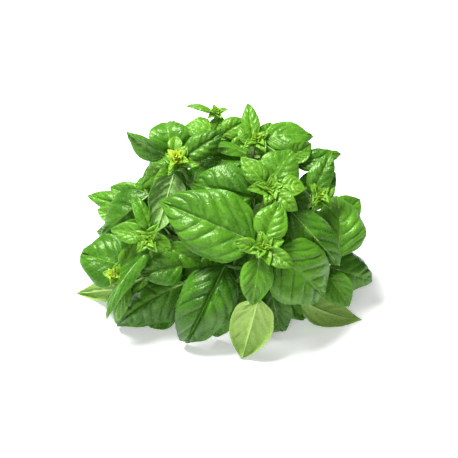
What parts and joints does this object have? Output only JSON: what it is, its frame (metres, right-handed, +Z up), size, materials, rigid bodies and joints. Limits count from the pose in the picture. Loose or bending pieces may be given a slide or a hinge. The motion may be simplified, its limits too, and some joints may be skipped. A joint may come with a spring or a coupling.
{
  "type": "basil bunch",
  "caption": "Bunch of fresh basil: leafy shoots branching from one cut main stem, with broad glossy leaves, lying on a flat surface",
  "frame": {"origin": "under the middle of the bunch, on the surface that it lies on", "axes": "+Z up from the surface, -Y toward the side that the bunch's face leans to, +X to the right seen from there"},
  "size_m": [0.241, 0.1906, 0.1383],
  "materials": {
    "blade": "satin, glossy above and matte below",
    "young_blade": "satin, yellow-green young leaves",
    "stem": "satin"
  },
  "bodies": {
    "root": {"main_stem": "stem", "front_stem": "stem", "crown_stem": "stem", "right_stem": "stem", "upper_left_stem": "stem", "top_stem": "stem", "back_stem": "stem", "left_stem": "stem", "low_left_stem": "stem", "front_leaf_big_left": "blade", "front_leaf_big_right": "blade", "front_leaf_upper": "blade", "front_leaf_lower": "blade", "front_leaf_small_left": "young_blade", "front_leaf_small_right": "young_blade", "crown_leaf_upper_left": "blade", "crown_leaf_upper_right": "blade", "crown_leaf_lower_right": "young_blade", "crown_leaf_right": "blade", "crown_leaf_broad": "blade", "crown_leaf_behind": "blade", "crown_leaf_dark": "blade", "right_leaf_upright": "blade", "right_leaf_behind": "blade", "right_leaf_arched": "blade", "right_leaf_round": "blade", "right_leaf_low": "blade", "front_leaf_pale": "blade", "front_leaf_low_left": "blade", "front_leaf_dark": "blade", "main_leaf_folded": "blade", "upper_left_leaf_long": "blade", "upper_left_leaf_right": "blade", "upper_left_leaf_back": "blade", "upper_left_leaf_hanging": "blade", "upper_left_leaf_left": "blade", "top_leaf_upright": "young_blade", "top_leaf_right": "blade", "top_leaf_front": "blade", "back_leaf_curved": "young_blade", "back_leaf_bright": "blade", "back_leaf_pale": "blade", "back_leaf_textured": "blade", "back_leaf_rear_left": "blade", "back_leaf_rear_right": "blade", "left_leaf_pointing": "young_blade", "left_leaf_narrow": "blade", "left_leaf_big": "blade", "left_leaf_behind": "blade", "low_left_leaf_round": "blade", "low_left_leaf_up": "young_blade", "low_left_leaf_pale": "blade", "low_left_leaf_long": "blade", "low_left_leaf_edge": "blade", "low_left_leaf_large": "blade", "low_left_leaf_curled": "blade", "main_leaf_rear_left": "blade", "main_leaf_rear_right": "blade", "main_leaf_right": "blade", "main_leaf_left": "blade"}
  },
  "joints": []
}
